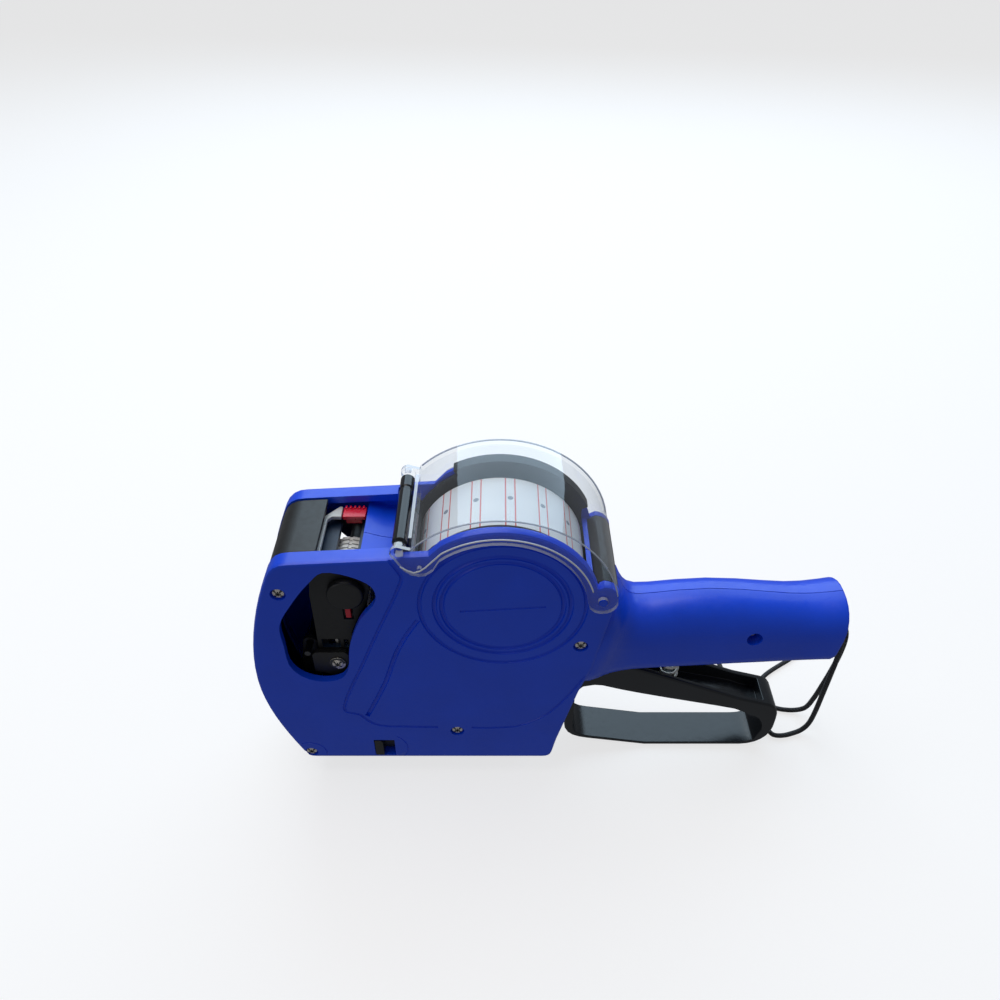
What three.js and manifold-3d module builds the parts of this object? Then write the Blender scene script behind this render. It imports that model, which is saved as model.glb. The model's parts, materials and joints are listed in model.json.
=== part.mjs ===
// Hand-held price labeling gun: two moulded casings with a handle, a label roll under a clear
// hinged cover, a digit-band print head, an ink roller, a feed wheel, a base cover and a
// finger-loop trigger. Millimetres, +Z up, +X towards the handle, Y = 0 on the parting plane.
// Outlines are drawn in the X-Z plane with Z = 0 on the casings' lower edge. The whole gun is
// then lifted by FOOT, so that it stands on Z = 0.
import * as THREE from 'three';
import { mergeVertices } from 'three/addons/utils/BufferGeometryUtils.js';
import Module from 'manifold-3d';

const wasm = await Module();
wasm.setup();

// ---------- driving dimensions ----------
const FOOT = 10;                       // casings' lower edge above the surface it stands on
const HALF = 21;                       // half width of the body
const SIDE = 2.8;                      // side plate thickness
const RIM = 3;                         // thickness of the edge walls
const RIM_IN = 14.6;                   // inner end of the front rims, from the parting plane
const EDGE = 1.6;                      // rounding of the casings' outer edges
const GAP = 0.3;                       // running gap between separate pieces
const SEAM = 0.15;                     // half the gap between the two casings
const PIN_R = 1.2;                     // cross pins and their holes
const PIN_HOLE = 1.5;
const PIN_HALF = 17.6;                 // half length of the long cross pins
const THROUGH = 30;                    // half length of a cutter that goes right through
const ROLL = { x: 0, z: 90.7 };        // centre of the label roll
const HOUSING_R = 35.2;                // round top of the casings
const ROLL_R = 31;
const ROLL_W = 26;
const ROLL_Y = 0.6;                    // middle of the roll's width
const TRAY_R = 33;
const COVER_R = 41.7;
const COVER_T = 1.5;
const FLANGE = { y0: 21.3, y1: 22.7, r: 31 };
const COVER_PIVOT = { x: 35.9, z: 94.5 };
const ROD = { x: -33.7, z: 117.8, r: 2.6 };
const TRIGGER_PIVOT = { x: 22, z: 33 };
const TRIGGER_HALF = 8;                 // half width of the finger loop
const SPRING = { x: 70, z0: 25.4, z1: 55.7, r: 3.4, wire: 0.55, turns: 7 };
const HEAD_PIVOT = { x: -24, z: 52 };
const SELECTOR = { x: -55.1, z: 91.8 };
const BRACKET_SCREW = { x: -61.7, z: 56.1 };
const ANVIL = { x: -58.8, z: 8.2 };
const PLATE = { y0: 12.4, y1: 14.2 };  // print head side plates
const BANDS = 8;
const BAND_PITCH = 2.15;
const BAND_W = 1.85;
const BAND_Y0 = -10.1;                 // centre of the first band
const INK = { x: -73.5, z: 18, r: 5.6 };
const INK_PIVOT = { x: -72.4, z: 62 };
const FEED = { x: -30, z: 13.5, r: 9.3 };
const BASE_PIVOT = { x: 15.5, z: 3.6 };
const APPLICATOR = { x: -70.5, z: -4.8, r: 5 };
const SLOT = { x0: -51.8, x1: -43.3, z0: 2, z1: 12.3 };
const HANDLE_SCREW = { x: 96.3, z: 65 };
const STRAP_R = 1.05;
const STRAP_EXIT = 60.4;               // height of the hole that the strap comes out of

// ---------- materials ----------
const paint = (color, roughness, metalness = 0, opacity = 1) =>
  new THREE.MeshStandardMaterial({ color, roughness, metalness, opacity, transparent: opacity < 1 });
const BLUE = paint(0x1128b8, 0.35);
const BLACK = paint(0x161616, 0.5);
const NAVY = paint(0x10182b, 0.45);
const RUBBER = paint(0x202020, 0.8);
const STEEL = paint(0xb9b9b4, 0.3, 1);
const PAPER = paint(0xf4f2ee, 0.8);
const CARD = paint(0xb59468, 0.9);
const RED = paint(0xd0102a, 0.4);
const CLEAR = paint(0xdfe9f2, 0.05, 0, 0.3);
const WHITE = paint(0xe9e9e6, 0.6);
const INKY = paint(0x2a1526, 0.85);
const CORD = paint(0x0b0b0b, 0.7);
const GREY = paint(0xa9aaa8, 0.5);

// ---------- outline helpers, points are [x, z] ----------
const DEG = Math.PI / 180;

function arc(cx, cz, r, from, to, steps) {
  const points = [];
  for (let i = 0; i <= steps; i += 1) {
    const a = (from + (to - from) * i / steps) * DEG;
    points.push([cx + r * Math.cos(a), cz + r * Math.sin(a)]);
  }
  return points;
}

function bezier(a, b, c, d, steps) {
  const points = [];
  for (let i = 0; i <= steps; i += 1) {
    const t = i / steps;
    const s = 1 - t;
    const mix = (k) => s ** 3 * a[k] + 3 * s * s * t * b[k] + 3 * s * t * t * c[k] + t ** 3 * d[k];
    points.push([mix(0), mix(1)]);
  }
  return points;
}

// A closed smooth curve through a few points.
function smoothLoop(points, steps) {
  const curve = new THREE.CatmullRomCurve3(points.map(([x, z]) => new THREE.Vector3(x, 0, z)), true);
  return curve.getPoints(steps).slice(0, -1).map((p) => [p.x, p.z]);
}

function area(points) {
  let sum = 0;
  points.forEach(([x, z], i) => {
    const [u, v] = points[(i + 1) % points.length];
    sum += x * v - u * z;
  });
  return sum / 2;
}

// Moves every point of a closed outline inwards by d.
function inset(points, d) {
  const turn = Math.sign(area(points));
  const n = points.length;
  return points.map(([x, z], i) => {
    const [px, pz] = points[(i + n - 1) % n];
    const [qx, qz] = points[(i + 1) % n];
    const a = new THREE.Vector2(x - px, z - pz).normalize();
    const b = new THREE.Vector2(qx - x, qz - z).normalize();
    const normal = new THREE.Vector2(-(a.y + b.y), a.x + b.x).normalize();
    const spread = Math.max(0.5, normal.dot(new THREE.Vector2(-a.y, a.x)));
    return [x + turn * normal.x * d / spread, z + turn * normal.y * d / spread];
  });
}

// ---------- solids ----------
function toManifold(geometry) {
  const bare = geometry.index ? geometry.toNonIndexed() : geometry.clone();
  bare.deleteAttribute('normal');
  bare.deleteAttribute('uv');
  const merged = mergeVertices(bare, 1e-4);
  return new wasm.Manifold(new wasm.Mesh({
    numProp: 3,
    vertProperties: new Float32Array(merged.attributes.position.array),
    triVerts: new Uint32Array(merged.index.array),
  }));
}

function toGeometry(manifold) {
  const { vertProperties, triVerts } = manifold.getMesh();
  const geometry = new THREE.BufferGeometry();
  geometry.setAttribute('position', new THREE.BufferAttribute(new Float32Array(vertProperties), 3));
  geometry.setIndex(new THREE.BufferAttribute(new Uint32Array(triVerts), 1));
  return geometry;
}

const toShape = (points) => new THREE.Shape(points.map(([x, z]) => new THREE.Vector2(x, z)));

// An X-Z outline extruded across the gun from y0 to y1.
function prism(points, y0, y1, holes = [], bevel = 0, bevelSteps = 2) {
  const shape = toShape(points);
  holes.forEach((hole) => shape.holes.push(toShape(hole)));
  const geometry = new THREE.ExtrudeGeometry(shape, {
    depth: y1 - y0 - 2 * bevel,
    bevelEnabled: bevel > 0,
    bevelSize: bevel,
    bevelThickness: bevel,
    bevelOffset: -bevel,
    bevelSegments: bevelSteps,
    steps: 1,
  });
  geometry.rotateX(Math.PI / 2);
  geometry.translate(0, y1 - bevel, 0);
  return toManifold(geometry);
}

// An X-Y outline extruded upwards from z0 to z1.
function slab(points, z0, z1) {
  const geometry = new THREE.ExtrudeGeometry(toShape(points), { depth: z1 - z0, bevelEnabled: false });
  geometry.translate(0, 0, z0);
  return toManifold(geometry);
}

function box(x0, x1, y0, y1, z0, z1) {
  const geometry = new THREE.BoxGeometry(x1 - x0, y1 - y0, z1 - z0);
  geometry.translate((x0 + x1) / 2, (y0 + y1) / 2, (z0 + z1) / 2);
  return toManifold(geometry);
}

// A round bar across the gun.
function bar({ x, z }, r, y0, y1, sides = 24) {
  const geometry = new THREE.CylinderGeometry(r, r, y1 - y0, sides);
  geometry.translate(x, (y0 + y1) / 2, z);
  return toManifold(geometry);
}

function ball({ x, z }, y, r) {
  const geometry = new THREE.SphereGeometry(r, 12, 7);
  geometry.translate(x, y, z);
  return toManifold(geometry);
}

// A turned piece across the gun: profile points are [radius, y].
function turned({ x, z }, profile, sides = 32) {
  const points = profile.map(([r, y]) => new THREE.Vector2(r, y));
  const geometry = new THREE.LatheGeometry(points, sides);
  geometry.translate(x, 0, z);
  return toManifold(geometry);
}

// A post along Z.
function post(x, y, z0, z1, r, sides = 20) {
  const geometry = new THREE.CylinderGeometry(r, r, z1 - z0, sides);
  geometry.rotateX(Math.PI / 2);
  geometry.translate(x, y, (z0 + z1) / 2);
  return toManifold(geometry);
}

// Mirrors a solid to the other side of the parting plane.
function mirrored(manifold) {
  const geometry = toGeometry(manifold);
  geometry.scale(1, -1, 1);
  const { array } = geometry.index;
  for (let i = 0; i < array.length; i += 3) {
    [array[i], array[i + 1]] = [array[i + 1], array[i]];
  }
  return toManifold(geometry);
}

const join = (solids) => solids.reduce((sum, solid) => sum.add(solid));

// ---------- the casings' outlines ----------
const NOSE = [
  ...bezier([-80, 0], [-87, 16], [-93, 33], [-93, 50], 9),
  ...bezier([-93, 50], [-93, 68], [-87, 90], [-80.5, 105], 9).slice(1),
  ...bezier([-80.5, 105], [-78.6, 109.2], [-76.4, 111], [-72, 111.2], 4).slice(1),
];
const FRONT_TOP = [[-63.3, 111.75], [-38, 113.3], [-33, 114.6], [-24.1, 115.2]];
const HOUSING = arc(ROLL.x, ROLL.z, HOUSING_R, 124.6, 14.2, 28);
const REAR_CORNER = arc(COVER_PIVOT.x, COVER_PIVOT.z, 6.1, 88, -18, 6);
const REAR = [[40, 86], [35, 56.7], [30.8, 43.3], [29.2, 36.7], [23.3, 11.7], [21.2, 0]];
const TOE = bezier([-76.8, 0], [-78.8, 0], [-80.2, 0.5], [-80.9, 2.1], 3);
const HEEL = bezier([21.8, 3.4], [21.3, 1], [20, 0], [17.8, 0], 4);
const BODY = [
  ...TOE, ...NOSE.slice(1), ...FRONT_TOP, ...HOUSING, ...REAR_CORNER, ...REAR.slice(0, -1), ...HEEL,
];
// The same outline without its small rear steps, for insetting.
const CORE = [...NOSE, ...FRONT_TOP, ...HOUSING, [37.4, 98.6], [41.4, 92], ...REAR];

const WINDOW = smoothLoop([
  [-60.4, 107.5], [-49.8, 105], [-44.1, 100.3], [-43.6, 93.7], [-49.8, 84.4], [-55.1, 70.4],
  [-57.3, 56.7], [-60.5, 51.6], [-67, 49.8], [-74, 52], [-78.6, 58], [-79.4, 70.4], [-79.2, 81],
  [-73.1, 92.4], [-65.8, 102.4],
], 56);
// The knob's hole is long, because the knob goes with the print head when the head swings.
const KNOB_TRAVEL = { x: -2.8, z: -2.2 };
const KNOB_HOLE = [
  ...arc(SELECTOR.x + KNOB_TRAVEL.x, SELECTOR.z + KNOB_TRAVEL.z, 9.2, 128, 308, 12),
  ...arc(SELECTOR.x, SELECTOR.z, 9.2, 308, 488, 12),
];

// The roll tray's black rear block stands in a notch in the casings' rear wall.
const REAR_BLOCK = {
  half: 17.3,
  bottom: 94.2,
  outline: [
    [33.2, 94.2], [33.2, 98.4], [34.6, 99.7], ...arc(COVER_PIVOT.x, COVER_PIVOT.z, 6, 88, -2, 6),
  ],
};

// ---------- the handle ----------
// Stations along the handle: x, top, bottom, half width, and how far the section leans.
const HANDLE = [
  [34, 87.2, 42.8, 20.6, 0.22], [38.4, 86.2, 43, 20.2, 0.22], [41, 84, 43.4, 18.9, 0.2],
  [43, 81.2, 43.8, 17.4, 0.17], [45.4, 78.7, 44.1, 16, 0.13], [48.4, 76.8, 44.3, 14.9, 0.08],
  [52, 76.2, 44.4, 14.1, 0.03], [58, 76.7, 44.6, 13.7, 0], [68, 78.2, 45.2, 13.5, 0],
  [80, 79.1, 46.2, 13.5, 0], [92, 78.5, 47.3, 13.5, 0], [102, 77.4, 48.2, 13.5, 0],
  [111, 76.5, 49.2, 13.6, 0.03], [118, 76.5, 50, 13.9, 0.06], [124.4, 77.2, 50.8, 14.3, 0.08],
  [128.6, 77.9, 51.2, 14.6, 0.1], [129.6, 77.5, 51.6, 14.2, 0.1], [130, 76.5, 52.6, 13.2, 0.1],
];
const HANDLE_SIDES = 28;
const HANDLE_SQUARE = 0.86;            // 1 is an ellipse, less is squarer
const HANDLE_SQUARE_LOW = 0.42;        // the lower half has nearly flat sides

function handleLoft(stations, shrink, sides) {
  const rings = stations.map(([x, top, bottom, half, lean]) => {
    const middle = (top + bottom) / 2;
    const rise = (top - bottom) / 2 - shrink;
    const ring = [];
    for (let i = 0; i < sides; i += 1) {
      const a = 2 * Math.PI * i / sides;
      const c = Math.cos(a);
      const s = Math.sin(a);
      const power = s > 0 ? HANDLE_SQUARE : HANDLE_SQUARE_LOW;
      const y = (half - shrink) * Math.sign(c) * Math.abs(c) ** power;
      const up = rise * Math.sign(s) * Math.abs(s) ** power;
      ring.push([x + lean * up, y, middle + up]);
    }
    return ring;
  });
  const positions = rings.flat(2);
  const index = [];
  for (let r = 0; r + 1 < rings.length; r += 1) {
    for (let i = 0; i < sides; i += 1) {
      const j = (i + 1) % sides;
      const a = r * sides + i;
      const b = r * sides + j;
      index.push(a, b, a + sides, b, b + sides, a + sides);
    }
  }
  const last = (rings.length - 1) * sides;
  for (let i = 1; i + 1 < sides; i += 1) {
    index.push(0, i + 1, i);
    index.push(last, last + i, last + i + 1);
  }
  const geometry = new THREE.BufferGeometry();
  geometry.setAttribute('position', new THREE.Float32BufferAttribute(positions, 3));
  geometry.setIndex(index);
  return toManifold(geometry);
}

// ---------- casings ----------
const SCREWS = {
  screw_front_top: { x: -77.2, z: 96.9, inner: -14.9 },
  screw_front_bottom: { x: -78.4, z: 3.9, inner: -14.9 },
  screw_base: { x: -17.3, z: 18.4, inner: 7 },
  screw_rear: { x: 29.7, z: 69.9, inner: 7 },
};
const BOSS_R = 3.6;
const HEAD_R = 2.1;
const SEAT_R = 2.8;
const SHANK_R = 1.1;

const HALF_SPACE = box(-120, 160, -60, 0, -20, 160);

function casing(near) {
  const outer = prism(BODY, -HALF, 4, [], EDGE, 2);
  const inside = prism(inset(CORE, RIM), -HALF + SIDE, 8);
  const handle = handleLoft(HANDLE, 0, HANDLE_SIDES);
  const hollow = handleLoft(HANDLE.slice(5, -2), 2.4, 16);
  const openings = [
    box(-100, -37.4, -RIM_IN, 8, -1, 130),                       // nose, top and base, front
    box(-60, 19, -RIM_IN, 8, -1, RIM + 0.4),                     // base, rear
    bar(BASE_PIVOT, PIN_HOLE, -17.9, 8, 16),
    box(-37.5, 34.6, -HALF + SIDE, 8, 99, 140),                  // roll bay
    box(32.9, 44, -REAR_BLOCK.half - GAP, 8, REAR_BLOCK.bottom - 0.2, 140),
    prism(near ? WINDOW : KNOB_HOLE, -HALF - 4, -HALF + SIDE + 1),
    box(SLOT.x0, SLOT.x1, -HALF - 1, -RIM_IN, SLOT.z0, SLOT.z1),
    box(14, 44, -TRIGGER_HALF - 1, 8, -2, 50),                   // trigger root
    box(40, 124, -TRIGGER_HALF - 0.8, 8, 30, 57),                // slot under the handle
    box(126, 134, -3.4, 8, STRAP_EXIT - 2, STRAP_EXIT + 2),      // strap hole
    bar(TRIGGER_PIVOT, 1.8, -16.5, 8),
  ];
  const bosses = Object.values(SCREWS).map(({ x, z, inner }) =>
    bar({ x, z }, BOSS_R, -HALF + SIDE - 0.5, Math.min(inner, -SEAM), 20));
  bosses.push(bar(HANDLE_SCREW, 4.4, -11.8, -SEAM, 20));
  const ledge = prism([
    [-48.8, 107.5], [-43, 105.6], [-37.6, 104.6], [-35.4, 100], [-37.6, 99.6], [-39.5, 102], [-48.8, 104.6],
  ], -HALF + SIDE - 0.5, 0);
  const springSeat = box(64, 76, -12.6, -SEAM, 56, 58.4);
  const pivotBoss = bar(TRIGGER_PIVOT, 4, -HALF + SIDE - 0.5, -9.4);
  let solid = outer.subtract(inside).add(handle.intersect(HALF_SPACE));
  solid = solid.subtract(hollow);
  solid = solid.subtract(join(openings.slice(0, -1)));
  solid = join([solid, ...bosses, ledge, springSeat, pivotBoss]);
  solid = solid.subtract(openings[openings.length - 1]);
  // stub that the clear cover turns on
  solid = solid.add(bar(COVER_PIVOT, 1.5, -HALF - 1.9, -HALF + 1, 20));
  Object.values(SCREWS).forEach(({ x, z, inner }) => {
    if (near) {
      solid = solid.subtract(bar({ x, z }, SEAT_R, -HALF - 1, -HALF + 1.8, 24));
      solid = solid.subtract(bar({ x, z }, SHANK_R + GAP, -HALF - 1, inner + 8, 16));
    } else if (inner > 0) {
      solid = solid.subtract(bar({ x, z }, SHANK_R + GAP, -inner - 1, 8, 16));
    }
  });
  if (near) {
    solid = solid.subtract(bar(HANDLE_SCREW, 3, -30, -8, 24));
    solid = solid.subtract(bar(HANDLE_SCREW, SHANK_R + GAP, -30, 8, 16));
  } else {
    solid = solid.subtract(bar(HANDLE_SCREW, SHANK_R + GAP, -8, 8, 16));
  }
  solid = solid.intersect(box(-120, 160, -60, -SEAM, -20, 160));
  return near ? solid : mirrored(solid);
}

// A pan-head screw whose head faces the near side.
function screw({ x, z }, headY, tipY, flange = HEAD_R + 0.05) {
  const body = turned({ x, z }, [
    [0, headY], [HEAD_R, headY + 0.6], [HEAD_R, headY + 0.9], [flange, headY + 0.9], [flange, headY + 1.3],
    [SHANK_R, headY + 1.3], [SHANK_R, tipY - 1], [0, tipY],
  ], 12);
  const cross = join([
    box(x - 1.1, x + 1.1, headY - 1, headY + 0.7, z - 0.25, z + 0.25),
    box(x - 0.25, x + 0.25, headY - 1, headY + 0.7, z - 1.1, z + 1.1),
  ]);
  return body.subtract(cross);
}

// ---------- covers ----------
const COVER_HALF = 14.3;

function frontCover() {
  const outer = inset(CORE, 0.35);
  const inner = inset(CORE, 2.3);
  const strip = prism(outer, -COVER_HALF, COVER_HALF, [], 0.4, 1).subtract(prism(inner, -THROUGH, THROUGH));
  return strip.intersect(box(-100, -63.3, -THROUGH, THROUGH, 3.6, 130));
}

function baseCover() {
  const profile = [
    [-76, 1], [-76, -4], [-74.4, -8.4], [-71.5, -10], [8, -10], [13.4, -5.6], [13.4, 1],
  ];
  const shell = prism(profile, -TRIGGER_HALF, TRIGGER_HALF, [], 0.6, 1);
  const lid = box(-79, 13.4, -COVER_HALF, COVER_HALF, 0, 1.7);
  const ears = [-1, 1].map((side) => {
    const y = 11.6 * side;
    return prism([[10, 1], [12.4, 3.6], ...arc(BASE_PIVOT.x, BASE_PIVOT.z, 3, 150, -60, 8), [13.4, 0.4]],
      y - 1.6, y + 1.6);
  });
  const cuts = [
    box(-63, 12, -6.4, 6.4, -8.4, -1.5),
    box(-64.5, -53, -6.4, 6.4, -8.4, 5),
    box(-80, -64.4, -6.4, 6.4, -12, 5),
    bar(APPLICATOR, PIN_HOLE, -9, 9, 16),
    bar(BASE_PIVOT, PIN_HOLE, -20, 20, 16),
  ];
  return join([shell, lid, ...ears]).subtract(join(cuts));
}

function clearCover() {
  const shell = prism(
    [
      ...arc(ROLL.x, ROLL.z, COVER_R, 13, 135, 24),
      ...arc(ROLL.x, ROLL.z, COVER_R - COVER_T, 135, 13, 24),
    ],
    -FLANGE.y1, FLANGE.y1,
  );
  const lobe = [
    ...arc(ROD.x, ROD.z, 2.9, 95, 235, 8),
    [-33.9, 112.6], [-32.4, 110], [-30, 108.1], [-27.6, 107.4], [-25.2, 107.7], [-22.6, 109.8],
  ];
  const eye = arc(COVER_PIVOT.x, COVER_PIVOT.z, 5.3, 212, 352, 9);
  const outline = [
    ...lobe,
    ...arc(ROLL.x, ROLL.z, FLANGE.r, 131, 9, 20),
    ...eye,
    ...arc(ROLL.x, ROLL.z, COVER_R - 0.4, 8, 136, 24),
  ];
  const flanges = [-1, 1].map((side) => {
    const y = (FLANGE.y0 + FLANGE.y1) / 2 * side;
    const half = (FLANGE.y1 - FLANGE.y0) / 2;
    return prism(outline, y - half, y + half);
  });
  const lip = box(-30.6, -29.2, -17.4, 17.4, 111.4, 120.2);
  const bosses = [-1, 1].map((side) => ball(ROD, side * 20.4, 2.8));
  const holes = [
    bar(COVER_PIVOT, 1.8, -THROUGH, THROUGH, 20),
    bar({ x: -27.1, z: 110.4 }, 0.9, -THROUGH, THROUGH, 12),
  ];
  return join([shell, ...flanges, lip, ...bosses]).subtract(join(holes));
}

// ---------- label roll ----------
function rollTray() {
  const trough = prism(
    [...arc(ROLL.x, ROLL.z, TRAY_R + 1.5, 150, 377, 28), ...arc(ROLL.x, ROLL.z, TRAY_R, 377, 150, 28)],
    -17.8, 17.8,
  );
  const cheeks = [-1, 1].map((side) => {
    const y = side * 17.1;
    const disc = prism(arc(ROLL.x, ROLL.z, TRAY_R + 0.8, 0, 348, 29), y - 0.7, y + 0.7);
    const hub = turned(ROLL, [[0, -17], [11, -17], [11, -9], [9.6, -7.6], [0, -7.6]], 20);
    return disc.add(side < 0 ? hub : mirrored(hub));
  });
  const cuts = [
    bar({ x: SCREWS.screw_rear.x, z: SCREWS.screw_rear.z }, BOSS_R + 0.6, -THROUGH, THROUGH),
    box(-34, -22, -11.6, 11.6, 66, 74),
    box(30.7, 50, -THROUGH, THROUGH, 95.8, 120),
    box(34.4, 50, -THROUGH, THROUGH, 60, 120),
  ];
  const rear = prism(REAR_BLOCK.outline, -REAR_BLOCK.half, REAR_BLOCK.half);
  // the far cheek has a lip that lies over the far casing's rim
  const lip = (r0, r1, y0, y1) => prism(
    [...arc(ROLL.x, ROLL.z, r0, 24, 118, 22), ...arc(ROLL.x, ROLL.z, r1, 118, 24, 22)], y0, y1);
  const web = lip(TRAY_R, HOUSING_R + 0.9, 16.4, 17.8);
  const cap = lip(HOUSING_R + 0.1, HOUSING_R + 0.9, 17, HALF);
  return join([trough, ...cheeks]).subtract(join(cuts)).add(join([rear, web, cap]));
}

const tube = (centre, r0, r1, y0, y1, sides) => turned(centre, [
  [r0, y0], [r1, y0], [r1, y1], [r0, y1], [r0, y0],
], sides);

// ---------- print head ----------
function headFrame() {
  const outline = [
    [-66.6, 103.4], [-65.4, 104], [-49.6, 104], [-47.6, 99], [-46.6, 93], [-47.8, 87], [-51.6, 79.5],
    [-55.4, 70], [-55.8, 62.5], [-50, 60.5], ...arc(HEAD_PIVOT.x, HEAD_PIVOT.z, 5, 75, -75, 6),
    [-50, 43], [-53.4, 30], [-55.2, 7], [-62.4, 7], [-65, 30], [-67.6, 46], [-69, 58], [-68.6, 70],
    [-68.4, 90],
  ];
  const plates = [-1, 1].map((side) => {
    const low = side < 0 ? -PLATE.y1 : PLATE.y0;
    const high = side < 0 ? -PLATE.y0 : PLATE.y1;
    return prism(outline, low, high);
  });
  const pockets = [
    prism([[-67.2, 61.9], [-60.3, 61.9], [-60.1, 66.4], [-67.2, 66.4]], -20, -12),
    box(-58.9, -57.1, -20, -12, 61.9, 66.2),
    box(-57.4, -53.6, -20, -PLATE.y1 + 1, 77.2, 84.6),            // seat of the red flag
  ];
  const top = box(-65.4, -49.6, -PLATE.y1, PLATE.y1, 101.6, 104);
  const front = box(-67.6, -65.6, -PLATE.y1, PLATE.y1, 60, 101.6);
  const anvil = bar(ANVIL, 1.1, -PLATE.y1, PLATE.y1, 16);
  const spindle = bar({ x: -47.6, z: 51.5 }, 2, -PLATE.y1, PLATE.y1, 16);
  const cuts = [
    box(-58.4, -50.6, -11.6, 11.4, 100, 106),
    bar(HEAD_PIVOT, 1.8, -THROUGH, THROUGH, 16),
    bar(SELECTOR, 8.8, 10, 30, 32),
  ];
  return join([...plates, top, front, anvil, spindle]).subtract(join([...pockets, ...cuts]));
}

// A belt of digits: a tapered loop round the selector wheel and the anvil.
function digitBand(y) {
  const loop = (big, small) => [
    ...arc(SELECTOR.x, SELECTOR.z, big, -5, 181, 10),
    ...arc(ANVIL.x, ANVIL.z, small, 181, 355, 5),
  ];
  return prism(loop(8.6, 2.9), y - BAND_W / 2, y + BAND_W / 2, [loop(7.4, 1.7)]);
}

function digitWheel(y) {
  return tube(SELECTOR, 2.8, 7, y - BAND_W / 2, y + BAND_W / 2, 10);
}

function headBracket() {
  const plate = prism([
    [-71.2, 51], ...arc(-63, 54, 5.4, 230, 310, 5), [-57.2, 51.6], [-57.2, 60.4], [-58.4, 61.6], [-70, 61.6],
    [-71.2, 60.4],
  ], -16.9, -14.5);
  return plate.subtract(bar(BRACKET_SCREW, 1.4, -20, -10, 16));
}

function windowPlate() {
  return slab([
    [-64.2, -13.6], [-62.9, -13.6], [-62.9, 6.6], [-61.6, 8.2], [-58.1, 8.2], [-58.1, 14], [-59.4, 14],
    [-64.2, 8.4],
  ], 106.2, 107.8);
}

function pointer() {
  let solid = box(-57.6, -49.2, 7.9, 13.3, 106.4, 108).add(box(-56.8, -51, 9.6, 11, 103.2, 106.6));
  for (let i = 0; i < 5; i += 1) {
    solid = solid.add(box(-57 + i * 1.6, -56.2 + i * 1.6, 11.9, 13.3, 107.8, 108.9));
  }
  return solid;
}

function knob() {
  const grip = turned(SELECTOR, [
    [0, 22], [8, 22], [8, 23.4], [7.6, 34.8], [6.8, 36], [0, 36.2],
  ], 24);
  const flutes = [];
  for (let i = 0; i < 10; i += 1) {
    const a = i * 36 * DEG;
    const edge = { x: SELECTOR.x + 8.9 * Math.cos(a), z: SELECTOR.z + 8.9 * Math.sin(a) };
    flutes.push(bar(edge, 1.5, 22.2, 38, 8));
  }
  return grip.subtract(join(flutes)).add(bar(SELECTOR, 2.3, 6.6, 22.6, 16));
}

function inkHolder() {
  const arms = [-1, 1].map((side) => {
    const y = side * 11;
    return prism([
      ...arc(INK_PIVOT.x, INK_PIVOT.z, 2.7, 0, 180, 8), [-77.6, 46], [-77, 22], [-75.6, 15.6],
      [-71.4, 15.6], [-70.2, 22], [-70.8, 46],
    ], y - 0.9, y + 0.9);
  });
  const bridge = box(-77.5, -76, -11, 11, 36, 46);
  return join([...arms, bridge])
    .subtract(bar(INK_PIVOT, PIN_HOLE, -20, 20, 16))
    .subtract(bar(INK, PIN_HOLE, -20, 20, 16));
}

// ---------- feed wheel, latch, trigger ----------
function feedWheel() {
  let wheel = turned(FEED, [
    [PIN_HOLE, -6], [FEED.r, -6], [FEED.r, 6], [PIN_HOLE, 6], [PIN_HOLE, -6],
  ], 30);
  for (let i = 0; i < 10; i += 1) {
    const a = i * 36 * DEG;
    const tip = new THREE.ConeGeometry(0.9, 1.8, 8);
    tip.translate(0, FEED.r + 0.5, 0);
    tip.rotateX(Math.PI / 2);
    tip.rotateY(a);
    tip.translate(FEED.x, 0, FEED.z);
    wheel = wheel.add(toManifold(tip));
  }
  return wheel;
}

function latch() {
  const tabs = [-1, 1].map((side) => {
    const y0 = side < 0 ? -HALF - 0.4 : 16.6;
    return prism([
      [SLOT.x0 + 0.3, 2.4], [SLOT.x0 + 3.7, 2.4], [SLOT.x0 + 3.7, 11], [SLOT.x0 + 3, 11.9],
      [SLOT.x0 + 0.3, 11.9],
    ], y0, y0 + HALF + 0.4 - 16.6);
  });
  const shutters = [-1, 1].map((side) => {
    const y0 = side < 0 ? -17.9 : 17;
    return box(SLOT.x0 + 0.3, SLOT.x1 + 0.5, y0, y0 + 0.9, 3.4, 12.6);
  });
  return join([...tabs, ...shutters, box(SLOT.x0 + 0.3, SLOT.x0 + 3, -17.4, 17.4, 3.4, 7)]);
}

const ARM_UNDER = [
  [34, 30.2], [38.3, 31.2], [41.8, 30.9], [50.2, 28.1], [57.9, 25.9], [69.8, 22.8], [80.3, 20.2],
  [90.1, 17.8], [98.5, 15.5],
];

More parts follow.
